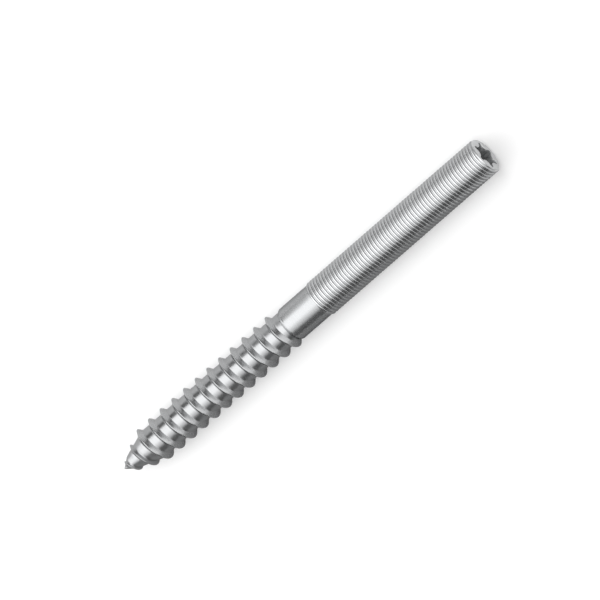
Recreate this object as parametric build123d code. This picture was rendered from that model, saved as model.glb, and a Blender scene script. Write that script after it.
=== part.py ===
from build123d import *
import os
from math import ceil, cos, radians, sin, tan

# Hanger bolt: one piece of steel, turned, rolled and punched. Millimetres.
# It lies along X. The machine thread and the six-lobe socket are at its +X end,
# the wood thread and the point at its -X end. The origin is on the axis, where
# the machine thread starts. The fine machine thread (M8 x 0.75) is a cylinder
# at its major diameter; the coarse wood thread is a true helical ridge.

# Lengths along the axis, from the driving end to the point
MACHINE_LENGTH = 46.0  # machine thread
SHANK_LENGTH = 7.7  # plain shank
SHOULDER_LENGTH = 0.7  # cone from the shank down to the core of the wood thread
CORE_LENGTH = 37.9  # parallel core of the wood thread
TAPER_LENGTH = 5.6  # tapered core behind the point
POINT_LENGTH = 2.1  # point cone

# Diameters
MACHINE_DIAMETER = 8.0  # major diameter of the machine thread
SHANK_DIAMETER = 7.5  # the blank that the machine thread is rolled on
CREST_DIAMETER = 8.74  # over the crest of the wood thread
CORE_DIAMETER = 6.8  # core of the wood thread
POINT_DIAMETER = 3.15  # where the taper meets the point cone
NOSE_DIAMETER = 0.2  # small flat on the very point
END_CHAMFER = 0.3  # 45 degrees, at the driving end

# Wood thread: one right-hand start. The flank towards the point is the steeper one.
WOOD_PITCH = 3.23
CREST_GAP = 0.25  # from the last crest straight below the axis to the foot of the shoulder
DRIVE_FLANK_ANGLE = 40.0  # flank towards the driving end, from square to the axis
POINT_FLANK_ANGLE = 32.0  # flank towards the point, from square to the axis
CREST_LAND = 0.08  # width of the narrow flat along the crest
LEAD_IN = 1.0  # along the axis, where the ridge rises out of the point cone
LEAD_IN_DIAMETER = 3.5  # over the crest at the end of the lead-in
GROWTH = 6.2  # along the axis, from the lead-in to the full crest
RUN_OUT = 1.12  # along the axis, where the ridge sinks into the shoulder
RUN_OUT_START = 1.0  # the run-out starts this far before the foot of the shoulder
START_GAP = 0.5  # from the nose to the start of the ridge
BURIAL = 0.1  # both ends of the crest lie this far under the surface
ROOT_SINK = 0.25  # the foot of the ridge lies this far under the core
STEPS_PER_TURN = 16  # points on each turn of its edges

# Six-lobe socket in the driving end
SOCKET_ACROSS_LOBES = 6.2
SOCKET_ACROSS_FLUTES = 4.1
SOCKET_LOBE_RADIUS = 0.45  # rounding of each lobe
SOCKET_DEPTH = 3.5  # straight depth at the lobes
SOCKET_FLOOR_ANGLE = 120.0  # included angle of the punched cone at the bottom
LOBES = 6

# Stations along the axis
SHANK_END = -SHANK_LENGTH
CORE_START = SHANK_END - SHOULDER_LENGTH
TAPER_START = CORE_START - CORE_LENGTH
POINT_START = TAPER_START - TAPER_LENGTH
NOSE = POINT_START - POINT_LENGTH

# Outline of the body below the machine thread: (station, radius), point first
BODY_OUTLINE = [
    (NOSE, NOSE_DIAMETER / 2),
    (POINT_START, POINT_DIAMETER / 2),
    (TAPER_START, CORE_DIAMETER / 2),
    (CORE_START, CORE_DIAMETER / 2),
    (SHANK_END, SHANK_DIAMETER / 2),
    (0.0, SHANK_DIAMETER / 2),
]


def radius_at(outline, station):
    """Radius of an outline of straight stretches at one station on the axis."""
    for (start, start_radius), (end, end_radius) in zip(outline, outline[1:]):
        if station <= end:
            share = (station - start) / (end - start)
            return start_radius + share * (end_radius - start_radius)
    return outline[-1][1]


# Outline over the crest of the wood thread, from its start to its end
RIDGE_START = NOSE + START_GAP
FULL_CREST_END = CORE_START - RUN_OUT_START
RIDGE_END = FULL_CREST_END + RUN_OUT
CREST_OUTLINE = [
    (RIDGE_START, radius_at(BODY_OUTLINE, RIDGE_START) - BURIAL),
    (RIDGE_START + LEAD_IN, LEAD_IN_DIAMETER / 2),
    (RIDGE_START + LEAD_IN + GROWTH, CREST_DIAMETER / 2),
    (FULL_CREST_END, CREST_DIAMETER / 2),
    (RIDGE_END, radius_at(BODY_OUTLINE, RIDGE_END) - BURIAL),
]


def turned_body():
    """The whole bolt as turned, before its threads and socket."""
    lead = (MACHINE_DIAMETER - SHANK_DIAMETER) / 2
    outline = BODY_OUTLINE + [
        (lead, MACHINE_DIAMETER / 2),
        (MACHINE_LENGTH - END_CHAMFER, MACHINE_DIAMETER / 2),
        (MACHINE_LENGTH, MACHINE_DIAMETER / 2 - END_CHAMFER),
        (MACHINE_LENGTH, 0.0),
        (NOSE, 0.0),
    ]
    profile = make_face(Polyline(*outline, close=True))
    return revolve(profile, Axis.X)


def ridge_section(station):
    """Corners of the ridge at one station, as (station, radius), point side first."""
    crest = radius_at(CREST_OUTLINE, station)
    point_slope = tan(radians(POINT_FLANK_ANGLE))
    drive_slope = tan(radians(DRIVE_FLANK_ANGLE))
    foot_station = station - (crest - radius_at(BODY_OUTLINE, station)) * point_slope
    clear_of_axis = NOSE_DIAMETER / 4
    foot = max(radius_at(BODY_OUTLINE, foot_station) - ROOT_SINK, clear_of_axis)
    height = crest - foot
    land = CREST_LAND / 2
    return [
        (station - land - height * point_slope, foot),
        (station - land, crest),
        (station + land, crest),
        (station + land + height * drive_slope, foot),
    ]


def ridge_stretch(start, end):
    """One stretch of the helical ridge, as a solid rooted inside the body."""
    steps = ceil((end - start) / WOOD_PITCH * STEPS_PER_TURN)
    shares = [step / steps for step in range(steps + 1)]
    corner_lines = [[], [], [], []]
    for share in shares:
        station = start + share * (end - start)
        turn = radians(360 * (station + CREST_GAP - CORE_START) / WOOD_PITCH)
        for line, (x, radius) in zip(corner_lines, ridge_section(station)):
            line.append((x, radius * sin(turn), -radius * cos(turn)))
    edges = [Edge.make_spline(line, parameters=shares) for line in corner_lines]
    sides = [Face.make_surface_from_curves(edges[i - 1], edges[i]) for i in range(4)]
    ends = [make_face(Polyline(*[line[i] for line in corner_lines], close=True)) for i in (0, -1)]
    return Solid(Shell(sides + [end.face() for end in ends]))


def wood_thread():
    """The ridge of the wood thread, in equal stretches of one turn at most."""
    length = RIDGE_END - RIDGE_START
    count = ceil(length / WOOD_PITCH)
    stations = [RIDGE_START + length * i / count for i in range(count + 1)]
    return [ridge_stretch(start, end) for start, end in zip(stations, stations[1:])]


def socket_outline():
    """The six-lobe outline of the socket: tangent arcs round lobes and flutes."""
    lobe_centre = SOCKET_ACROSS_LOBES / 2 - SOCKET_LOBE_RADIUS
    step = 360 / LOBES
    offset = SOCKET_LOBE_RADIUS - SOCKET_ACROSS_FLUTES / 2
    flute_centre = (lobe_centre**2 - offset**2) / (
        2 * (lobe_centre * cos(radians(step / 2)) + offset)
    )
    flute_radius = flute_centre - SOCKET_ACROSS_FLUTES / 2
    lobe_share = SOCKET_LOBE_RADIUS / (SOCKET_LOBE_RADIUS + flute_radius)

    def polar(radius, angle):
        return Vector(radius * cos(radians(angle)), radius * sin(radians(angle)))

    def tangent_point(lobe_angle, flute_angle):
        lobe = polar(lobe_centre, lobe_angle)
        return lobe + (polar(flute_centre, flute_angle) - lobe) * lobe_share

    arcs = []
    for lobe in range(LOBES):
        angle = lobe * step
        lobe_start = tangent_point(angle, angle - step / 2)
        lobe_end = tangent_point(angle, angle + step / 2)
        next_lobe = tangent_point(angle + step, angle + step / 2)
        arcs.append(ThreePointArc(lobe_start, polar(SOCKET_ACROSS_LOBES / 2, angle), lobe_end))
        flute = polar(SOCKET_ACROSS_FLUTES / 2, angle + step / 2)
        arcs.append(ThreePointArc(lobe_end, flute, next_lobe))
    return make_face(arcs)


def socket():
    """The punched socket: a six-lobe prism whose bottom is a shallow cone."""
    reach = SOCKET_ACROSS_LOBES / 2
    cone_depth = reach / tan(radians(SOCKET_FLOOR_ANGLE / 2))
    floor = SOCKET_DEPTH + cone_depth
    prism = extrude(socket_outline(), floor)
    punch = revolve(
        make_face(Polyline((0, 0), (reach, 0), (reach, SOCKET_DEPTH), (0, floor), close=True)),
        Axis.Y,
    )
    into_end = Plane(origin=(MACHINE_LENGTH, 0, 0), x_dir=(0, 0, 1), z_dir=(-1, 0, 0))
    return into_end * (prism & Rotation(90, 0, 0) * punch)


hanger_bolt = turned_body() + wood_thread() - socket()

os.makedirs("parts", exist_ok=True)
export_step(hanger_bolt, "parts/hanger_bolt.step")
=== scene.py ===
"""Dresses the hanger bolt in bright steel: rolled threads, a drawn shank and a punched socket."""

from __future__ import annotations

import logging
import math
from dataclasses import dataclass, fields
from enum import Enum
from functools import reduce

import bmesh
import bpy
from mathutils import Matrix, Vector

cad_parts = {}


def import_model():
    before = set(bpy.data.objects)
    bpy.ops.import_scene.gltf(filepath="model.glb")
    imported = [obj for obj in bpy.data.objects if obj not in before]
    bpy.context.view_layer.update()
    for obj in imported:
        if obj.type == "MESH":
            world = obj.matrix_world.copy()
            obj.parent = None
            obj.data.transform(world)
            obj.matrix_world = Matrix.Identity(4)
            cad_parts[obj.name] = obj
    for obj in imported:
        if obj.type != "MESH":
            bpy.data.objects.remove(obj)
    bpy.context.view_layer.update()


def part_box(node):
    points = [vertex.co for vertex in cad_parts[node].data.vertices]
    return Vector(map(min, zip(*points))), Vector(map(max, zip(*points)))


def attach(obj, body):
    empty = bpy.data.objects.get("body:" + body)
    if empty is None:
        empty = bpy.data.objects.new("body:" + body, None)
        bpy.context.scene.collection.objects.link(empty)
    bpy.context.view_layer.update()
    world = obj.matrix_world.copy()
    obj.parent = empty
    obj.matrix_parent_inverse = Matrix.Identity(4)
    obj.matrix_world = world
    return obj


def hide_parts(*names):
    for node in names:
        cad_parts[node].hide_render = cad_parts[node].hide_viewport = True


MM = 0.001
NODE = "hanger_bolt"
BODY = "root"
COLUMNS = 96  # corners round the bolt
WELD = 0.001 * MM  # corners nearer than this are one corner
EDGE_ANGLE = math.radians(38)  # faces that meet more sharply than this show an edge
NOISE_MIDDLE = 0.5  # a noise texture's middle value
MATT = 0.9  # the stage's roughness
WHITE = (1.0, 1.0, 1.0, 1.0)

# Sizes that neighbouring stretches or their finishes share
CORE_START = -8.4 * MM
CORE_RADIUS = 3.4 * MM
WOOD_CREST_RADIUS = 4.37 * MM
SHANK_RADIUS = 3.75 * MM
MACHINE_CREST_RADIUS = 4.0 * MM
DRIVING_END = 46.0 * MM
END_RADIUS = 3.7 * MM

log = logging.getLogger("hanger bolt")


# ---------------- arithmetic in node trees


class Formula:
    """A number in a node tree. Arithmetic on it adds Math nodes to the tree."""

    def __init__(self, tree: bpy.types.NodeTree, socket: bpy.types.NodeSocket) -> None:
        """Keeps the tree and the socket that the number comes from.

        Args:
            tree: The node tree that the number is in.
            socket: The output that gives the number.
        """
        self.tree = tree
        self.socket = socket

    def math(self, operation: str, *others: Formula | float) -> Formula:
        """Adds a Math node that works on this number and others.

        Args:
            operation: The Math node's operation.
            others: The operation's further numbers, in order.

        Returns:
            The node's result.
        """
        node = self.tree.nodes.new("ShaderNodeMath")
        node.operation = operation
        for entry, value in zip(node.inputs, (self, *others)):
            feed(self.tree, entry, value)
        return Formula(self.tree, node.outputs[0])

    def __add__(self, other: Formula | float) -> Formula:
        """Gives the sum."""
        return self.math("ADD", other)

    __radd__ = __add__

    def __sub__(self, other: Formula | float) -> Formula:
        """Gives the difference."""
        return self.math("SUBTRACT", other)

    def __rsub__(self, other: float) -> Formula:
        """Gives the other number less this one."""
        return self.math("MULTIPLY_ADD", -1.0, other)

    def __mul__(self, other: Formula | float) -> Formula:
        """Gives the product."""
        return self.math("MULTIPLY", other)

    __rmul__ = __mul__

    def __truediv__(self, other: Formula | float) -> Formula:
        """Gives the quotient."""
        return self.math("DIVIDE", other)

    def least(self, *others: Formula | float) -> Formula:
        """Gives the smallest of this and the other numbers."""
        return reduce(lambda so_far, other: so_far.math("MINIMUM", other), others, self)

    def most(self, *others: Formula | float) -> Formula:
        """Gives the largest of this and the other numbers."""
        return reduce(lambda so_far, other: so_far.math("MAXIMUM", other), others, self)

    def ramp(self, start: Formula | float, end: Formula | float, eased: bool = False) -> Formula:
        """Rises from 0 at the start to 1 at the end, and is held outside them.

        Args:
            start: Where the ramp begins.
            end: Where the ramp is full.
            eased: Whether the ramp starts and ends gently.

        Returns:
            The height of the ramp at this number.
        """
        node = self.tree.nodes.new("ShaderNodeMapRange")
        node.interpolation_type = "SMOOTHSTEP" if eased else "LINEAR"
        for entry, value in zip(node.inputs, (self, start, end, 0.0, 1.0)):
            feed(self.tree, entry, value)
        return Formula(self.tree, node.outputs[0])

    def towards(self, other: Formula | float, share: Formula | float) -> Formula:
        """Gives the number that lies a share of the way from this one to another."""
        return self + (other - self) * share


Sizes = dict[str, Formula]  # a stretch's sizes as inputs of its tree, by field name
Place = tuple[Formula, Formula, Formula]  # station on the axis, distance out from it, angle round it


def feed(
    tree: bpy.types.NodeTree,
    entry: bpy.types.NodeSocket,
    value: Formula | bpy.types.NodeSocket | float | tuple,
) -> None:
    """Gives a node's input its value.

    Args:
        tree: The tree that the node is in.
        entry: The input.
        value: A formula or an output to link, or a plain value to set.
    """
    if isinstance(value, Formula):
        tree.links.new(value.socket, entry)
    elif isinstance(value, bpy.types.NodeSocket):
        tree.links.new(value, entry)
    else:
        entry.default_value = value


def fill(tree: bpy.types.NodeTree, node: bpy.types.Node, **inputs: object) -> None:
    """Gives a node its inputs.

    Args:
        tree: The tree that the node is in.
        node: The node.
        inputs: Values by input name, with underscores for spaces.
    """
    for name, value in inputs.items():
        feed(tree, node.inputs[name.replace("_", " ")], value)


def add_node(tree: bpy.types.NodeTree, kind: str, **inputs: object) -> bpy.types.Node:
    """Adds a node and gives it its inputs.

    Args:
        tree: The tree to add the node to.
        kind: The node's type.
        inputs: Values by input name, with underscores for spaces.

    Returns:
        The new node.
    """
    node = tree.nodes.new(kind)
    fill(tree, node, **inputs)
    return node


# ---------------- finishes


class Grain(Enum):
    """The way that the marks of a tool run over the steel."""

    ROUND = (1.0, 0.06, 0.06)
    ALONG = (0.05, 1.0, 1.0)


def shader_group(
    name: str, vectors: list[str], numbers: list[str], results: list[str]
) -> tuple[bpy.types.ShaderNodeTree, bpy.types.Node, bpy.types.Node]:
    """Starts a shader node group that puts out numbers.

    Args:
        name: The group's name.
        vectors: The names of its vector inputs.
        numbers: The names of its number inputs.
        results: The names of its outputs.

    Returns:
        The group, with its Group Input and its Group Output node.
    """
    group = bpy.data.node_groups.new(name, "ShaderNodeTree")
    for labels, way, kind in (
        (vectors, "INPUT", "NodeSocketVector"),
        (numbers, "INPUT", "NodeSocketFloat"),
        (results, "OUTPUT", "NodeSocketFloat"),
    ):
        for label in labels:
            group.interface.new_socket(label, in_out=way, socket_type=kind)
    return group, group.nodes.new("NodeGroupInput"), group.nodes.new("NodeGroupOutput")


class SteelEffects:
    """The effects that every steel finish on the bolt shares, each built once as a node group."""

    MARK_DETAIL, MARK_ROUGHNESS = 3.0, 0.6
    BROAD_DETAIL, BROAD_ROUGHNESS, BROAD_SHARE = 2.0, 0.5, 0.65
    FINER_DETAIL, FINER_ROUGHNESS, FINER_SHARE = 4.0, 0.65, 0.35
    FINER_SCALE = 3.7  # how much finer the finer clouds are than the broad ones
    DULL_FROM, DULL_TO = 0.35, 0.7  # the finer clouds' values where dullness starts and is full
    CREST_FROM, ROOT_TO = 0.86, 0.35  # shares of the way from the root to the crest

    def __init__(self) -> None:
        """Builds the groups."""
        self.tool_marks = self._tool_marks()
        self.mottling = self._mottling()
        self.crest_and_root = self._crest_and_root()

    def _tool_marks(self) -> bpy.types.ShaderNodeTree:
        """Builds fine parallel marks, as rolling, drawing or punching leaves them.

        Returns:
            The group, which puts out the marks' height and their bright streaks.
        """
        group, entry, result = shader_group(
            "Tool marks",
            vectors=["Place", "Run"],
            numbers=["Marks per metre", "Contrast"],
            results=["Height", "Streak"],
        )
        stretched = add_node(group, "ShaderNodeVectorMath")
        stretched.operation = "MULTIPLY"
        feed(group, stretched.inputs[0], entry.outputs["Place"])
        feed(group, stretched.inputs[1], entry.outputs["Run"])
        marks = add_node(
            group,
            "ShaderNodeTexNoise",
            Vector=stretched.outputs[0],
            Scale=entry.outputs["Marks per metre"],
            Detail=self.MARK_DETAIL,
            Roughness=self.MARK_ROUGHNESS,
        )
        height = Formula(group, marks.outputs[0])
        streak = (height - NOISE_MIDDLE) * Formula(group, entry.outputs["Contrast"]) + NOISE_MIDDLE
        fill(group, result, Height=height, Streak=streak.most(0.0).least(1.0))
        return group

    def _mottling(self) -> bpy.types.ShaderNodeTree:
        """Builds the soft cloudy unevenness of bright steel.

        Returns:
            The group, which puts out a tone round 1 and a dullness from 0 to 1.
        """
        group, entry, result = shader_group(
            "Mottling",
            vectors=["Place"],
            numbers=["Patches per metre", "Strength"],
            results=["Tone", "Dullness"],
        )
        place, scale = entry.outputs["Place"], Formula(group, entry.outputs["Patches per metre"])
        broad = add_node(
            group,
            "ShaderNodeTexNoise",
            Vector=place,
            Scale=scale,
            Detail=self.BROAD_DETAIL,
            Roughness=self.BROAD_ROUGHNESS,
        )
        finer = add_node(
            group,
            "ShaderNodeTexNoise",
            Vector=place,
            Scale=scale * self.FINER_SCALE,
            Detail=self.FINER_DETAIL,
            Roughness=self.FINER_ROUGHNESS,
        )
        broad, finer = Formula(group, broad.outputs[0]), Formula(group, finer.outputs[0])
        clouds = broad * self.BROAD_SHARE + finer * self.FINER_SHARE
        tone = (clouds - NOISE_MIDDLE) * Formula(group, entry.outputs["Strength"]) + 1.0
        dullness = finer.ramp(self.DULL_FROM, self.DULL_TO, eased=True)
        fill(group, result, Tone=tone, Dullness=dullness)
        return group

    def _crest_and_root(self) -> bpy.types.ShaderNodeTree:
        """Builds the masks of a thread's crests and roots, where the finishes wear the crests smoother and
        paint a highlight on them, and make the roots duller and paint shade in them.

        Returns:
            The group, which puts out both masks, from 0 to 1.
        """
        group, entry, result = shader_group(
            "Crest and root",
            vectors=["Place"],
            numbers=["Root radius", "Crest radius"],
            results=["Crest", "Root"],
        )
        place = add_node(group, "ShaderNodeSeparateXYZ", Vector=entry.outputs["Place"])
        across, up = Formula(group, place.outputs["Y"]), Formula(group, place.outputs["Z"])
        out = (across * across + up * up).math("SQRT")
        root = Formula(group, entry.outputs["Root radius"])
        crest = Formula(group, entry.outputs["Crest radius"])
        on_crest = out.ramp(root.towards(crest, self.CREST_FROM), crest, eased=True)
        past_root = out.ramp(root, root.towards(crest, self.ROOT_TO), eased=True)
        fill(group, result, Crest=on_crest, Root=1.0 - past_root)
        return group


@dataclass(frozen=True)
class SteelFinish:
    """One finish of the bright steel.

    The steel is duller towards the root radius and smoother at the crest radius. Its colour is darker towards
    the root, as painted shade, and lighter at the crest, as a painted highlight, by the two fields that say
    how much.
    """

    name: str
    roughness: float
    dull_roughness: float
    grain: Grain
    marks_per_metre: float
    mark_depth: float
    streak_contrast: float
    mottling: float
    root_radius: float
    crest_radius: float
    colour: tuple[float, float, float] = (0.320, 0.325, 0.330)
    root_shade: float = 0.0
    crest_painted_highlight: float = 0.0
    metallic: float = 1.0
    edge_gleam: float = 0.65

    PATCHES_PER_METRE = 420.0
    STREAK_LIGHT = 0.06  # how much lighter the brightest streak is than the darkest
    CLOUD_DULLNESS, ROOT_DULLNESS = 0.6, 0.4  # shares of the dullness
    CREST_POLISH = 0.2  # how much smoother a crest is worn

    def material(self, effects: SteelEffects) -> bpy.types.Material:
        """Builds the finish as a material on object coordinates.

        Args:
            effects: The node groups that the finishes share.

        Returns:
            The material.
        """
        material = bpy.data.materials.new(self.name)
        material.use_nodes = True
        tree = material.node_tree
        place = add_node(tree, "ShaderNodeTexCoord").outputs["Object"]

        marks = self._group(tree, effects.tool_marks, "Fine tool marks")
        fill(tree, marks, Place=place, Run=self.grain.value)
        fill(tree, marks, Marks_per_metre=self.marks_per_metre, Contrast=self.streak_contrast)
        clouds = self._group(tree, effects.mottling, "Soft mottling")
        fill(tree, clouds, Place=place, Patches_per_metre=self.PATCHES_PER_METRE, Strength=self.mottling)
        edges = self._group(tree, effects.crest_and_root, "Crests and roots")
        fill(tree, edges, Place=place, Root_radius=self.root_radius, Crest_radius=self.crest_radius)

        crest = Formula(tree, edges.outputs["Crest"])
        root = Formula(tree, edges.outputs["Root"])
        streak = Formula(tree, marks.outputs["Streak"])
        tone = Formula(tree, clouds.outputs["Tone"])
        shade = tone * ((1.0 - self.STREAK_LIGHT / 2) + streak * self.STREAK_LIGHT)
        # Painted shade darkens the colour in the thread's roots, and a painted highlight lightens it on the
        # crests.
        shade = shade * (1.0 - root * self.root_shade) * (1.0 + crest * self.crest_painted_highlight)
        tinted = add_node(tree, "ShaderNodeVectorMath", Vector=self.colour)
        tinted.operation = "SCALE"
        fill(tree, tinted, Scale=shade)

        dullness = Formula(tree, clouds.outputs["Dullness"]) * self.CLOUD_DULLNESS + root * self.ROOT_DULLNESS
        roughness = self.roughness + dullness * (self.dull_roughness - self.roughness)
        marked = marks.outputs["Height"]
        relief = add_node(tree, "ShaderNodeBump", Strength=1.0, Distance=self.mark_depth, Height=marked)
        fill(
            tree,
            tree.nodes["Principled BSDF"],
            Base_Color=tinted.outputs[0],
            Roughness=roughness * (1.0 - crest * self.CREST_POLISH),
            Metallic=self.metallic,
            Specular_Tint=(*(self.edge_gleam,) * 3, 1.0),
            Normal=relief.outputs[0],
        )
        return material

    @staticmethod
    def _group(tree: bpy.types.NodeTree, group: bpy.types.ShaderNodeTree, label: str) -> bpy.types.Node:
        """Places a shared node group in a material.

        Args:
            tree: The material's node tree.
            group: The group.
            label: What it does, in plain words.

        Returns:
            The new node.
        """
        node = tree.nodes.new("ShaderNodeGroup")
        node.node_tree = group
        node.label = label
        return node


ROLLED_WOOD_THREAD = SteelFinish(
    name="rolled_steel_wood_thread",
    # Lighter than the shank's steel, as painted light, with painted shade in the roots and a painted
    # highlight on the crests.
    colour=(0.350, 0.355, 0.360),
    root_shade=0.10,
    crest_painted_highlight=0.12,
    roughness=0.26,
    dull_roughness=0.30,
    grain=Grain.ROUND,
    marks_per_metre=9000.0,
    mark_depth=0.0007 * MM,
    streak_contrast=2.2,
    mottling=0.06,
    root_radius=3.35 * MM,
    crest_radius=WOOD_CREST_RADIUS,
)
DRAWN_SHANK = SteelFinish(
    name="drawn_steel_shank",
    roughness=0.26,
    dull_roughness=0.30,
    grain=Grain.ROUND,
    marks_per_metre=7000.0,
    mark_depth=0.0002 * MM,
    streak_contrast=2.0,
    mottling=0.03,
    root_radius=2.0 * MM,
    crest_radius=9.0 * MM,
    edge_gleam=0.45,
)
ROLLED_MACHINE_THREAD = SteelFinish(
    name="rolled_steel_machine_thread",
    # Lighter than the shank's steel, as painted light, with painted shade in the roots and a painted
    # highlight on the crests.
    colour=(0.375, 0.380, 0.385),
    root_shade=0.30,
    crest_painted_highlight=0.25,
    roughness=0.24,
    dull_roughness=0.30,
    grain=Grain.ROUND,
    marks_per_metre=9000.0,
    mark_depth=0.0004 * MM,
    streak_contrast=2.2,
    mottling=0.04,
    root_radius=3.62 * MM,
    crest_radius=MACHINE_CREST_RADIUS,
)
PUNCHED_SOCKET = SteelFinish(
    name="punched_steel_socket",
    roughness=0.45,
    dull_roughness=0.55,
    grain=Grain.ALONG,
    marks_per_metre=6000.0,
    mark_depth=0.002 * MM,
    streak_contrast=3.0,
    mottling=0.12,
    root_radius=1.0 * MM,
    crest_radius=9.0 * MM,
    metallic=0.4,
)
FACED_END_WITH_PAINTED_LIGHT = SteelFinish(
    name="faced_steel_end_with_painted_light",
    # Lighter than the rest of the steel, as painted light.
    colour=(0.520, 0.525, 0.530),
    roughness=0.34,
    dull_roughness=0.42,
    grain=Grain.ALONG,
    marks_per_metre=5000.0,
    mark_depth=0.001 * MM,
    streak_contrast=2.0,
    mottling=0.10,
    root_radius=1.0 * MM,
    crest_radius=9.0 * MM,
    edge_gleam=1.0,
)


# ---------------- stretches of the bolt


@dataclass(frozen=True)
class BoltStretch:
    """A stretch of the bolt: a sheet of rows and columns that a node tree bends round the axis.

    Every size that a stretch holds is a named input of its tree.
    """

    LABEL = "stretch"

    @property
    def rows(self) -> int:
        """How many rows of corners the sheet has, from the point towards the driving end."""
        raise NotImplementedError

    def corner(self, size: Sizes, row: Formula, turn: Formula) -> Place:
        """Says where one corner of the sheet lies.

        Args:
            size: The stretch's sizes, by field name.
            row: The corner's row, counted from 0.
            turn: How far round the bolt its column is, from 0 to 1.

        Returns:
            The station on the axis, the distance out from it, and the angle round it.
        """
        raise NotImplementedError

    def _tree(self, material: bpy.types.Material) -> bpy.types.GeometryNodeTree:
        """Builds the stretch's node tree.

        Args:
            material: The material on its faces.

        Returns:
            The tree, which ends in Realize Instances and Set Material.
        """
        tree = bpy.data.node_groups.new(self.LABEL, "GeometryNodeTree")
        tree.interface.new_socket("Geometry", in_out="OUTPUT", socket_type="NodeSocketGeometry")
        for field in fields(self):
            title = field.name.replace("_", " ").capitalize()
            tree.interface.new_socket(title, in_out="INPUT", socket_type="NodeSocketFloat")
        sizes_in = tree.nodes.new("NodeGroupInput")
        size = {f.name: Formula(tree, sizes_in.outputs[i]) for i, f in enumerate(fields(self))}

        sheet = add_node(tree, "GeometryNodeMeshGrid", Vertices_X=self.rows, Vertices_Y=COLUMNS + 1)
        index = Formula(tree, add_node(tree, "GeometryNodeInputIndex").outputs[0])
        row = ((index + 0.5) / (COLUMNS + 1.0)).math("FLOOR")
        turn = (index - row * (COLUMNS + 1.0)) / float(COLUMNS)
        along, out, angle = self.corner(size, row, turn)
        place = add_node(
            tree,
            "ShaderNodeCombineXYZ",
            X=along,
            Y=out * angle.math("SINE"),
            Z=out * angle.math("COSINE") * -1.0,
        )
        flat = sheet.outputs["Mesh"]
        bent = add_node(tree, "GeometryNodeSetPosition", Geometry=flat, Position=place.outputs[0])
        joined = add_node(tree, "GeometryNodeMergeByDistance", Geometry=bent.outputs[0], Distance=WELD)
        turned_out = add_node(tree, "GeometryNodeFlipFaces", Mesh=joined.outputs[0])
        smooth = add_node(tree, "GeometryNodeSetShadeSmooth", Geometry=turned_out.outputs[0])
        real = add_node(tree, "GeometryNodeRealizeInstances", Geometry=smooth.outputs[0])
        dressed = add_node(tree, "GeometryNodeSetMaterial", Geometry=real.outputs[0], Material=material)
        result = tree.nodes.new("NodeGroupOutput")
        feed(tree, result.inputs[0], dressed.outputs[0])
        return tree

    def mesh(self, material: bpy.types.Material) -> bpy.types.Mesh:
        """Builds the stretch as a plain mesh.

        Args:
            material: The material on its faces.

        Returns:
            The mesh, in the frame's own metres.
        """
        tree = self._tree(material)
        blank = bpy.data.objects.new(self.LABEL, bpy.data.meshes.new(self.LABEL))
        bpy.context.scene.collection.objects.link(blank)
        modifier = blank.modifiers.new(self.LABEL, "NODES")
        modifier.node_group = tree
        inputs = [item for item in tree.interface.items_tree if item.in_out == "INPUT"]
        for item, field in zip(inputs, fields(self)):
            modifier[item.identifier] = float(getattr(self, field.name))
        graph = bpy.context.evaluated_depsgraph_get()
        mesh = bpy.data.meshes.new_from_object(blank.evaluated_get(graph), depsgraph=graph)
        blank.modifiers.clear()
        bpy.data.objects.remove(blank)
        log.info("%s: %d corners, %d faces", self.LABEL, len(mesh.vertices), len(mesh.polygons))
        return mesh


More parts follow.
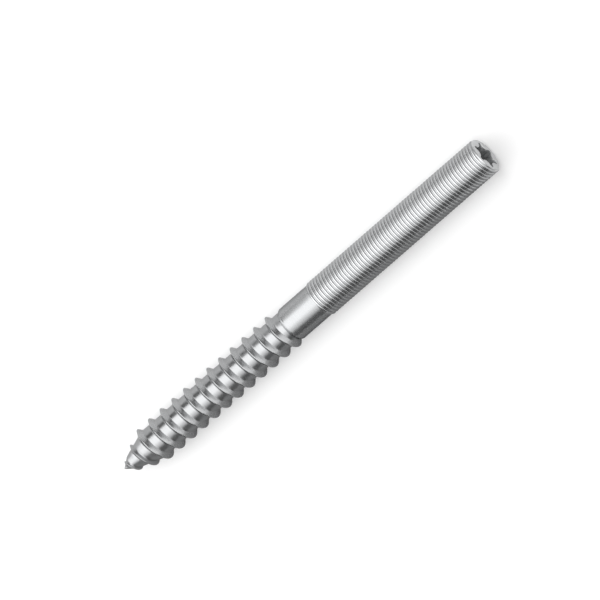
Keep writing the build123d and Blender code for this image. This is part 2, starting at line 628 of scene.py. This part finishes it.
@dataclass(frozen=True)
class WoodThread(BoltStretch):
    """The coarse thread on its core, with the taper and the point."""

    pitch: float = 3.23 * MM
    core_start: float = CORE_START
    taper_start: float = -46.3 * MM
    point_start: float = -51.9 * MM
    nose: float = -54.0 * MM
    crest_radius: float = WOOD_CREST_RADIUS
    core_radius: float = CORE_RADIUS
    point_radius: float = 1.575 * MM
    nose_radius: float = 0.1 * MM
    thread_start: float = -53.5 * MM
    start_radius: float = 0.35 * MM
    lead_in_end: float = -52.5 * MM
    lead_in_radius: float = 1.75 * MM
    growth_end: float = -46.3 * MM
    full_crest_end: float = -9.4 * MM
    crest_land: float = 0.08 * MM
    crest_gap: float = 0.25 * MM
    drive_flank_angle: float = 40.0
    point_flank_angle: float = 32.0
    crest_rounding: float = 0.10 * MM
    root_rounding: float = 0.16 * MM

    LABEL = "wood thread"
    ROWS_PER_TURN = 20
    CREST_FROM, CREST_TO, DRIVE_FOOT = 4, 7, 12  # rows of a turn where its zones meet
    LAND_HEIGHT, ROOT_HEIGHT = 0.2 * MM, 0.5 * MM  # a lower ridge has a narrower land and sharper roots
    END_STRIP = 0.05 * MM  # at either end the surface comes back to the core over this length
    FOOT_STEPS = 3  # steps of the search for a flank's foot

    @property
    def turns(self) -> int:
        """Whole turns that cover the stretch, and one at either end that is held there to close it."""
        return math.ceil((self.core_start - self.nose) / self.pitch) + 2

    @property
    def rows(self) -> int:
        """How many rows of corners the sheet has, with one at the very tip."""
        return self.turns * self.ROWS_PER_TURN + 2

    @staticmethod
    def core(size: Sizes, along: Formula) -> Formula:
        """Gives the radius under the ridge.

        Args:
            size: The stretch's sizes, by field name.
            along: The station.

        Returns:
            The radius of the core, the taper or the point there.
        """
        point = (size["point_radius"] - size["nose_radius"]) / (size["point_start"] - size["nose"])
        taper = (size["core_radius"] - size["point_radius"]) / (size["taper_start"] - size["point_start"])
        on_point = size["nose_radius"] + (along - size["nose"]) * point
        on_taper = size["point_radius"] + (along - size["point_start"]) * taper
        return on_point.least(on_taper, size["core_radius"])

    @staticmethod
    def crest(size: Sizes, along: Formula) -> Formula:
        """Gives the radius over the ridge.

        Args:
            size: The stretch's sizes, by field name.
            along: The station.

        Returns:
            The radius of the crest there.
        """
        lead_in_rise = size["lead_in_radius"] - size["start_radius"]
        lead_in = lead_in_rise / (size["lead_in_end"] - size["thread_start"])
        growth = (size["crest_radius"] - size["lead_in_radius"]) / (size["growth_end"] - size["lead_in_end"])
        run_out = (size["crest_radius"] - size["core_radius"]) / (size["core_start"] - size["full_crest_end"])
        on_lead_in = size["start_radius"] + (along - size["thread_start"]) * lead_in
        on_growth = size["lead_in_radius"] + (along - size["lead_in_end"]) * growth
        on_run_out = size["core_radius"] + (size["core_start"] - along) * run_out
        return on_lead_in.least(on_growth, size["crest_radius"], on_run_out)

    def ridge(self, size: Sizes, centre: Formula) -> dict[str, Formula]:
        """Gives the measures of the ridge whose crest is at a station.

        Args:
            size: The stretch's sizes, by field name.
            centre: The station of the middle of the crest.

        Returns:
            The crest's radius, half its land, the flanks' slopes and the stations of both feet.
        """
        crest = self.crest(size, centre)
        height = (crest - self.core(size, centre)).most(0.0)
        half_land = size["crest_land"] * 0.5 * height.ramp(0.0, self.LAND_HEIGHT)
        drive = (size["drive_flank_angle"] * math.radians(1)).math("TANGENT")
        point = (size["point_flank_angle"] * math.radians(1)).math("TANGENT")
        drive_foot, point_foot = centre, centre
        for _ in range(self.FOOT_STEPS):
            drive_foot = centre + half_land + (crest - self.core(size, drive_foot)).most(0.0) * drive
            point_foot = centre - half_land - (crest - self.core(size, point_foot)).most(0.0) * point
        return {
            "centre": centre,
            "crest": crest,
            "height": height,
            "half_land": half_land,
            "drive": drive,
            "point": point,
            "drive_foot": drive_foot,
            "point_foot": point_foot,
        }

    @staticmethod
    def surface(size: Sizes, ridge: dict[str, Formula], along: Formula) -> Formula:
        """Gives the radius of a ridge's own surface, with its crest rounded.

        Args:
            size: The stretch's sizes, by field name.
            ridge: The ridge's measures.
            along: The station.

        Returns:
            The radius of its flank or crest there.
        """
        on_point = ridge["crest"] + (along - ridge["centre"] + ridge["half_land"]) / ridge["point"]
        on_drive = ridge["crest"] - (along - ridge["centre"] - ridge["half_land"]) / ridge["drive"]
        return on_point.least(on_drive).math("SMOOTH_MIN", ridge["crest"], size["crest_rounding"])

    def corner(self, size: Sizes, row: Formula, turn: Formula) -> Place:
        """Says where one corner lies: row 0 is the tip, and the others follow the helix.

        Args:
            size: The stretch's sizes, by field name.
            row: The corner's row, counted from 0.
            turn: How far round the bolt its column is, from 0 to 1.

        Returns:
            The corner's place.
        """
        past_tip = (row - 1.0).most(0.0)
        whole = ((past_tip + 0.5) / float(self.ROWS_PER_TURN)).math("FLOOR")
        step = past_tip - whole * float(self.ROWS_PER_TURN)
        last_crest = size["core_start"] - size["crest_gap"]
        centre = last_crest + (whole + turn - (self.turns - 1.0)) * size["pitch"]
        this = self.ridge(size, centre)
        following = self.ridge(size, centre + size["pitch"])

        along = this["point_foot"]
        crest_start = centre - this["half_land"]
        crest_end = centre + this["half_land"]
        along = along + (crest_start - this["point_foot"]) * step.ramp(0.0, self.CREST_FROM, eased=True)
        along = along + (crest_end - crest_start) * step.ramp(self.CREST_FROM, self.CREST_TO)
        drive_flank = step.ramp(self.CREST_TO, self.DRIVE_FOOT, eased=True)
        along = along + (this["drive_foot"] - crest_end) * drive_flank
        core_strip = step.ramp(self.DRIVE_FOOT, self.ROWS_PER_TURN, eased=True)
        along = along + (following["point_foot"] - this["drive_foot"]).most(0.0) * core_strip
        along = along.most(size["nose"]).least(size["core_start"])

        core = self.core(size, along)
        reach = size["root_rounding"] * this["height"].ramp(0.0, self.ROOT_HEIGHT)
        reach_on = size["root_rounding"] * following["height"].ramp(0.0, self.ROOT_HEIGHT)
        raised = core.math("SMOOTH_MAX", self.surface(size, this, along), reach)
        raised = raised.math("SMOOTH_MAX", self.surface(size, following, along), reach_on)
        past_nose = (along - size["nose"]).ramp(0.0, self.END_STRIP)
        inside = past_nose * (size["core_start"] - along).ramp(0.0, self.END_STRIP)
        out = core.towards(raised, inside) * row.least(1.0)
        return along, out, turn * math.tau


@dataclass(frozen=True)
class Shank(BoltStretch):
    """The plain shank, with the shoulder that leads down to the wood thread's core."""

    core_start: float = CORE_START
    shoulder_end: float = -7.7 * MM
    shank_end: float = 0.0
    core_radius: float = CORE_RADIUS
    shank_radius: float = SHANK_RADIUS
    edge_rounding: float = 0.12 * MM

    LABEL = "shank"
    SHOULDER_ROWS, SHANK_ROWS = 12, 8
    CLOSE_REACH = 1.35  # the shoulder's rows reach past it, to this many times its length

    @property
    def rows(self) -> int:
        """How many rows of corners the sheet has."""
        return self.SHOULDER_ROWS + self.SHANK_ROWS + 1

    def corner(self, size: Sizes, row: Formula, turn: Formula) -> Place:
        """Says where one corner lies: close rows on the shoulder, then wide ones on the shank.

        Args:
            size: The stretch's sizes, by field name.
            row: The corner's row, counted from 0.
            turn: How far round the bolt its column is, from 0 to 1.

        Returns:
            The corner's place.
        """
        close = (size["shoulder_end"] - size["core_start"]) * self.CLOSE_REACH
        along = size["core_start"] + close * row.ramp(0.0, self.SHOULDER_ROWS)
        along = along.towards(size["shank_end"], row.ramp(self.SHOULDER_ROWS, self.rows - 1.0))
        slope = (size["shank_radius"] - size["core_radius"]) / (size["shoulder_end"] - size["core_start"])
        cone = size["core_radius"] + (along - size["core_start"]) * slope
        out = cone.math("SMOOTH_MIN", size["shank_radius"], size["edge_rounding"])
        return along, out, turn * math.tau


@dataclass(frozen=True)
class MachineThread(BoltStretch):
    """The fine thread, rolled right up to the shank and chamfered at the driving end."""

    pitch: float = 0.75 * MM
    length: float = DRIVING_END
    crest_radius: float = MACHINE_CREST_RADIUS
    shank_radius: float = SHANK_RADIUS
    end_radius: float = END_RADIUS
    groove_depth: float = 0.29 * MM
    crest_share: float = 0.20
    root_share: float = 0.12

    LABEL = "machine thread"
    ROWS_PER_TURN = 8

    @property
    def turns(self) -> int:
        """Whole turns that cover the stretch, and one that closes it."""
        return math.ceil(self.length / self.pitch) + 1

    @property
    def rows(self) -> int:
        """How many rows of corners the sheet has."""
        return self.turns * self.ROWS_PER_TURN + 1

    def corner(self, size: Sizes, row: Formula, turn: Formula) -> Place:
        """Says where one corner lies, on rows that follow the helix.

        Args:
            size: The stretch's sizes, by field name.
            row: The corner's row, counted from 0.
            turn: How far round the bolt its column is, from 0 to 1.

        Returns:
            The corner's place.
        """
        across = row / float(self.ROWS_PER_TURN)
        along = ((across + turn - 1.0) * size["pitch"]).most(0.0).least(size["length"])
        from_crest = (across - (across + 0.5).math("FLOOR")).math("ABSOLUTE")
        sink = from_crest.ramp(size["crest_share"] * 0.5, 0.5 - size["root_share"] * 0.5, eased=True)
        out = size["crest_radius"] - size["groove_depth"] * sink
        out = out.most(size["shank_radius"] - along).least(size["shank_radius"] + along)
        to_end = size["length"] - along
        out = out.most(size["end_radius"] - to_end).least(size["end_radius"] + to_end)
        return along, out, turn * math.tau


@dataclass(frozen=True)
class DriveSocket(BoltStretch):
    """The driving end's flat ring and the six-lobe socket punched into it."""

    end: float = DRIVING_END
    ring_radius: float = END_RADIUS
    lobe_radius: float = 3.1 * MM
    flute_radius: float = 2.05 * MM
    lobe_rounding: float = 0.45 * MM
    depth: float = 3.5 * MM
    floor_angle: float = 120.0
    mouth_chamfer: float = 0.05 * MM

    LABEL = "drive socket"
    LOBES = 6
    GATHERING = 0.6  # how closely the columns gather at the lobes, where 0 is evenly spaced
    RING_ROWS, MOUTH_ROW, WALL_ROW, FLOOR_ROW = 3, 4, 12, 18

    @property
    def rows(self) -> int:
        """How many rows of corners the sheet has, from the ring to the middle of the socket's floor."""
        return self.FLOOR_ROW + 1

    def outline(self, size: Sizes, angle: Formula) -> Formula:
        """Gives the radius of the six-lobe outline, whose lobes and flutes are tangent arcs.

        Args:
            size: The stretch's sizes, by field name.
            angle: The angle round the axis, 0 at the middle of a lobe.

        Returns:
            The outline's distance from the axis.
        """
        sector = math.tau / self.LOBES
        half = sector / 2
        from_lobe = ((angle + half).math("FLOORED_MODULO", sector) - half).math("ABSOLUTE")
        from_flute = half - from_lobe
        lobe_centre = size["lobe_radius"] - size["lobe_rounding"]
        short = size["lobe_rounding"] - size["flute_radius"]
        flute_centre = (lobe_centre * lobe_centre - short * short) / (
            (lobe_centre * math.cos(half) + short) * 2.0
        )
        flute_rounding = flute_centre - size["flute_radius"]
        share = size["lobe_rounding"] / (size["lobe_rounding"] + flute_rounding)
        touch_along = lobe_centre.towards(flute_centre * math.cos(half), share)
        touch_across = flute_centre * math.sin(half) * share
        touch = touch_across.math("ARCTAN2", touch_along)

        lobe_offset = lobe_centre * from_lobe.math("SINE")
        on_lobe = lobe_centre * from_lobe.math("COSINE") + (
            size["lobe_rounding"] * size["lobe_rounding"] - lobe_offset * lobe_offset
        ).most(0.0).math("SQRT")
        flute_offset = flute_centre * from_flute.math("SINE")
        on_flute = flute_centre * from_flute.math("COSINE") - (
            flute_rounding * flute_rounding - flute_offset * flute_offset
        ).most(0.0).math("SQRT")
        return on_flute.towards(on_lobe, from_lobe.math("LESS_THAN", touch))

    def corner(self, size: Sizes, row: Formula, turn: Formula) -> Place:
        """Says where one corner lies: across the ring, over the mouth, down the wall, across the floor.

        Args:
            size: The stretch's sizes, by field name.
            row: The corner's row, counted from 0.
            turn: How far round the bolt its column is, from 0 to 1.

        Returns:
            The corner's place.
        """
        even = turn * math.tau
        gathered = even - (even * float(self.LOBES)).math("SINE") * (self.GATHERING / self.LOBES)
        across_ring = row.ramp(0.0, self.RING_ROWS)
        angle = even.towards(gathered, across_ring)
        wall = self.outline(size, gathered)
        out = size["ring_radius"].towards(wall + size["mouth_chamfer"], across_ring)
        out = out - size["mouth_chamfer"] * row.ramp(self.RING_ROWS, self.MOUTH_ROW)
        out = out * (1.0 - row.ramp(self.WALL_ROW, self.FLOOR_ROW))

        rise = (size["floor_angle"] * math.radians(0.5)).math("TANGENT")
        floor = size["end"] - size["depth"] - (size["lobe_radius"] - out) / rise
        mouth = size["end"] - size["mouth_chamfer"] * row.ramp(self.RING_ROWS, self.MOUTH_ROW)
        along = mouth.towards(floor, row.ramp(self.MOUTH_ROW, self.WALL_ROW))
        return along, out, angle


@dataclass(frozen=True)
class HangerBolt:
    """The whole bolt: one piece of steel, welded from its stretches."""

    wood_thread: WoodThread = WoodThread()
    shank: Shank = Shank()
    machine_thread: MachineThread = MachineThread()
    drive_socket: DriveSocket = DriveSocket()

    JUST_PAST = 1.01  # a little more than the whole of a chamfer

    def build(self, effects: SteelEffects) -> None:
        """Builds the dressed bolt in place of the plain CAD node.

        Args:
            effects: The node groups that the finishes share.
        """
        bolt = bpy.data.objects.new("steel_bolt", self._weld(effects))
        bpy.context.scene.collection.objects.link(bolt)
        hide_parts(NODE)
        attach(bolt, BODY)

    def _weld(self, effects: SteelEffects) -> bpy.types.Mesh:
        """Welds the stretches into one closed mesh.

        Args:
            effects: The node groups that the finishes share.

        Returns:
            The mesh, with its materials and its sharp edges.
        """
        parts = [
            (self.wood_thread, ROLLED_WOOD_THREAD),
            (self.shank, DRAWN_SHANK),
            (self.machine_thread, ROLLED_MACHINE_THREAD),
            (self.drive_socket, PUNCHED_SOCKET),
        ]
        whole = bmesh.new()
        materials = []
        for number, (stretch, finish) in enumerate(parts):
            materials.append(finish.material(effects))
            mesh = stretch.mesh(materials[number])
            start = len(whole.faces)
            whole.from_mesh(mesh)
            whole.faces.ensure_lookup_table()
            for face in whole.faces[start:]:
                face.material_index = number
            bpy.data.meshes.remove(mesh)
        bmesh.ops.remove_doubles(whole, verts=whole.verts, dist=WELD)
        self._dress_end_ring(whole, socket=len(parts) - 1, faced=len(parts))
        materials.append(FACED_END_WITH_PAINTED_LIGHT.material(effects))
        open_edges = sum(1 for edge in whole.edges if not edge.is_manifold)
        mesh = bpy.data.meshes.new("steel_bolt")
        whole.to_mesh(mesh)
        whole.free()
        for material in materials:
            mesh.materials.append(material)
        mesh.shade_smooth()
        mesh.set_sharp_from_angle(angle=EDGE_ANGLE)
        triangles = sum(len(face.vertices) - 2 for face in mesh.polygons)
        log.info("steel bolt: %d triangles, %d open edges", triangles, open_edges)
        return mesh

    def _dress_end_ring(self, whole: bmesh.types.BMesh, socket: int, faced: int) -> None:
        """Gives the flat ring round the socket and the chamfer outside it the faced end's steel, whose colour
        is lighter than the rest as painted light.

        Args:
            whole: The bolt's mesh.
            socket: The material number of the socket.
            faced: The material number of the faced end, whose lighter colour is painted light.
        """
        end_chamfer = self.machine_thread.crest_radius - self.machine_thread.end_radius
        brim = self.drive_socket.end - self.drive_socket.mouth_chamfer * self.JUST_PAST
        chamfer = self.drive_socket.end - end_chamfer * self.JUST_PAST
        for face in whole.faces:
            lowest = min(v.co.x for v in face.verts)
            if lowest > (brim if face.material_index == socket else chamfer):
                face.material_index = faced


# ---------------- the set


@dataclass(frozen=True)
class Panel:
    """A flat panel beside the bolt that shapes what the steel reflects: a soft lamp or a dark card.

    front and back are the angles of two of its edges, in degrees towards the front.
    """

    name: str
    front: float
    back: float

    def corners(self) -> list[Vector]:
        """Gives the corners, in the order that a right-handed screw turns to go away from the bolt."""
        raise NotImplementedError

    def stand(self, shade: float) -> None:
        """Stands the panel as a dark card.

        Args:
            shade: The card's own colour, where 0 is black.
        """
        dark_piece(self.name, self.corners(), shade)

    def hang(self, brightness: float) -> None:
        """Hangs the panel as a soft lamp that faces the bolt and that the camera doesn't show.

        Args:
            brightness: That of its face, where 1 is white.
        """
        first, second, third, _ = self.corners()
        width, height = (second - first).length, (third - second).length
        right, up = (second - first).normalized(), (third - second).normalized()
        lamp = bpy.data.lights.new(self.name, "AREA")
        lamp.shape = "RECTANGLE"
        lamp.size, lamp.size_y = width, height
        lamp.energy = brightness * math.pi * width * height
        holder = bpy.data.objects.new(self.name, lamp)
        bpy.context.scene.collection.objects.link(holder)
        holder.matrix_world = standing(right, up, right.cross(up), (first + third) / 2)
        holder.visible_camera = False
        log.info("%s: %.2f by %.2f m", self.name, width, height)


@dataclass(frozen=True)
class SidePanel(Panel):
    """A panel along the bolt, between two stations. Its angles are those of its long edges from overhead."""

    distance: float
    start: float = -1.00
    end: float = 0.30

    def corners(self) -> list[Vector]:
        """Works out the corners.

        Returns:
            The corners, in the panel's own order.
        """
        turn = math.radians((self.front + self.back) / 2)
        up = Vector((0.0, -math.sin(turn), math.cos(turn)))
        along = Vector((1.0, 0.0, 0.0))
        wide = up.cross(along) * self.distance * math.tan(math.radians((self.front - self.back) / 2))
        return [
            up * self.distance + along * x + wide * side
            for x, side in ((self.start, -1), (self.end, -1), (self.end, 1), (self.start, 1))
        ]


@dataclass(frozen=True)
class EndPanel(Panel):
    """An upright panel beyond the driving end, or beyond the point where the distance is less than 0.

    Its angles are the bearings of its upright edges from the bolt's own line, and low and high are the
    angles of its level edges above the bolt.
    """

    low: float
    high: float
    distance: float

    def corners(self) -> list[Vector]:
        """Works out the corners.

        Returns:
            The corners, in the panel's own order.
        """
        edges = [-abs(self.distance) * math.tan(math.radians(bearing)) for bearing in (self.front, self.back)]
        if self.distance < 0.0:
            edges.reverse()
        first, second = edges
        low, high = (abs(self.distance) * math.tan(math.radians(height)) for height in (self.low, self.high))
        outline = ((first, low), (second, low), (second, high), (first, high))
        return [Vector((self.distance, y, z)) for y, z in outline]


def dark_piece(name: str, corners: list[Vector], shade: float) -> None:
    """Makes a dark card that only reflections show.

    Args:
        name: The card's name.
        corners: Its corners, in order.
        shade: Its colour, where 0 is black.
    """
    card = flat_piece(name, corners)
    card.data.materials.append(plain_material(name, shade))
    card.visible_camera = False
    card.visible_shadow = False
    card.visible_diffuse = False
    log.info("%s stands", name)


def standing(right: Vector, up: Vector, back: Vector, place: Vector) -> Matrix:
    """Gives the matrix of a lamp or a camera at a place.

    Args:
        right: Its right-hand direction.
        up: Its upward direction.
        back: The direction that it faces away from.
        place: Where it stands.

    Returns:
        The matrix in the frame's own metres.
    """
    matrix = Matrix((right, up, back)).transposed().to_4x4()
    matrix.translation = place
    return matrix


def flat_piece(name: str, corners: list[Vector]) -> bpy.types.Object:
    """Makes a flat piece of the stage.

    Args:
        name: The piece's name.
        corners: Its corners, in order.

    Returns:
        The object, with its place in its mesh.
    """
    mesh = bpy.data.meshes.new(name)
    mesh.from_pydata([tuple(corner) for corner in corners], [], [tuple(range(len(corners)))])
    piece = bpy.data.objects.new(name, mesh)
    bpy.context.scene.collection.objects.link(piece)
    return piece


def plain_material(name: str, shade: float) -> bpy.types.Material:
    """Makes a plain grey matt material for a piece of the stage.

    Args:
        name: The material's name.
        shade: Its colour, from 0 for black to 1 for white.

    Returns:
        The material.
    """
    material = bpy.data.materials.new(name)
    material.use_nodes = True
    surface = material.node_tree.nodes["Principled BSDF"]
    grey = (shade, shade, shade, 1.0)
    fill(material.node_tree, surface, Base_Color=grey, Roughness=MATT, Specular_IOR_Level=0.0)
    return material


def seen_directly(tree: bpy.types.NodeTree) -> Formula:
    """Tells what is seen from what only lights the bolt.

    Args:
        tree: The surface's node tree.

    Returns:
        1 where the camera, a reflection or a refraction sees the surface, and 0 elsewhere.
    """
    path = tree.nodes.new("ShaderNodeLightPath")
    camera = Formula(tree, path.outputs["Is Camera Ray"])
    glossy = Formula(tree, path.outputs["Is Glossy Ray"])
    through = Formula(tree, path.outputs["Is Transmission Ray"])
    return camera.most(glossy, through)


@dataclass(frozen=True)
class Studio:
    """The set: a pale floor and surround, soft lamps, dark cards and a camera that looks down on the bolt."""

    floor_reach: float = 6.0
    floor_colour: float = 0.72
    floor_lift: float = 0.25
    floor_glow: float = 0.8
    glow_start: float = 0.1
    glow_full: float = 0.55
    card_start: float = -0.35
    card_end: float = 0.045
    card_reach: float = 0.3
    card_gap: float = 0.05 * MM
    card_shade: float = 0.4
    surround: float = 0.28
    surround_seen: float = 1.0
    camera_distance: float = 0.6
    camera_lean: float = 20.3
    camera_roll: float = 41.005
    aim_along: float = -3.027 * MM
    aim_across: float = 2.439 * MM
    view_width: float = 117.6 * MM
    nearest: float = 0.01
    farthest: float = 20.0

    def lay_floor(self, height: float) -> None:
        """Lays the floor under the bolt.

        It has some light of its own, which only the camera and reflections see, and which grows
        away from the bolt so that the floor stays pale to its edge.

        Args:
            height: How high the floor lies.
        """
        reach = self.floor_reach
        corners = [Vector((x * reach, y * reach, height)) for x, y in ((-1, -1), (1, -1), (1, 1), (-1, 1))]
        floor = flat_piece("floor", corners)
        material = plain_material("pale_floor", self.floor_colour)
        tree = material.node_tree
        place = add_node(tree, "ShaderNodeTexCoord").outputs["Object"]
        away = add_node(tree, "ShaderNodeVectorMath", Vector=place)
        away.operation = "LENGTH"
        glow = Formula(tree, away.outputs["Value"]).ramp(self.glow_start, self.glow_full, eased=True)
        lift = self.floor_lift + glow * self.floor_glow
        surface = tree.nodes["Principled BSDF"]
        fill(tree, surface, Emission_Color=WHITE, Emission_Strength=seen_directly(tree) * lift)
        floor.data.materials.append(material)
        log.info("floor at %.2f mm", height / MM)

    def lay_card(self, height: float) -> None:
        """Lays a dark card on the floor along the front of the bolt, to darken its underside.

        Args:
            height: How high the floor lies.
        """
        level = height + self.card_gap
        outline = (
            (self.card_start, 0.0),
            (self.card_start, -self.card_reach),
            (self.card_end, -self.card_reach),
            (self.card_end, 0.0),
        )
        dark_piece("floor card", [Vector((x, y, level)) for x, y in outline], self.card_shade)

    def light_surround(self) -> None:
        """Lights the surround, which shows white to the camera and in reflections."""
        world = bpy.data.worlds.new("pale surround")
        bpy.context.scene.world = world
        world.use_nodes = True
        tree = world.node_tree
        strength = self.surround + seen_directly(tree) * (self.surround_seen - self.surround)
        fill(tree, tree.nodes["Background"], Color=WHITE, Strength=strength)

    def hang_lamps(self) -> None:
        """Hangs the soft lamps and stands the dark cards."""
        lamps = {
            SidePanel("broad softbox", front=39.0, back=-72.0, distance=0.44): 0.5,
            SidePanel("key softbox", front=26.0, back=-56.0, distance=0.42): 0.6,
            SidePanel("inner softbox", front=12.0, back=-42.0, distance=0.40): 0.8,
            EndPanel("end softbox", front=32.0, back=-6.0, low=0.0, high=38.0, distance=0.50): 0.85,
            EndPanel("point softbox", front=40.0, back=-40.0, low=-0.5, high=22.0, distance=-1.10): 1.9,
        }
        cards = {
            EndPanel("end card", front=-10.0, back=-74.0, low=-1.0, high=22.0, distance=0.45): 0.12,
            SidePanel("core card", front=-46.0, back=-74.0, distance=0.07, start=-0.090, end=-0.034): 0.05,
            SidePanel("dark card", front=89.0, back=46.0, distance=0.38, start=-0.90, end=0.60): 0.2,
        }
        for lamp, brightness in lamps.items():
            lamp.hang(brightness)
        for card, shade in cards.items():
            card.stand(shade)

    def place_camera(self) -> None:
        """Places the camera above the bolt, rolled so that the driving end is at the upper right."""
        lean, roll = math.radians(self.camera_lean), math.radians(self.camera_roll)
        back = Vector((math.sin(lean), 0.0, math.cos(lean)))
        axis = Vector((math.cos(lean), 0.0, -math.sin(lean)))
        across = Vector((0.0, 1.0, 0.0))
        right = axis * math.cos(roll) - across * math.sin(roll)
        up = axis * math.sin(roll) + across * math.cos(roll)
        aim = axis * self.aim_along + across * self.aim_across
        lens = bpy.data.cameras.new("camera")
        lens.type = "ORTHO"
        lens.ortho_scale = self.view_width
        lens.clip_start, lens.clip_end = self.nearest, self.farthest
        camera = bpy.data.objects.new("camera", lens)
        bpy.context.scene.collection.objects.link(camera)
        camera.matrix_world = standing(right, up, back, aim + back * self.camera_distance)
        bpy.context.scene.camera = camera


def main() -> None:
    """Builds the bolt, the set and the camera."""
    logging.basicConfig(level=logging.INFO, format="%(name)s: %(message)s")
    bpy.context.scene.view_settings.view_transform = "Standard"
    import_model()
    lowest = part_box(NODE)[0].z
    HangerBolt().build(SteelEffects())
    studio = Studio()
    studio.lay_floor(lowest)
    studio.lay_card(lowest)
    studio.light_surround()
    studio.hang_lamps()
    studio.place_camera()


if __name__ == "__main__":
    main()
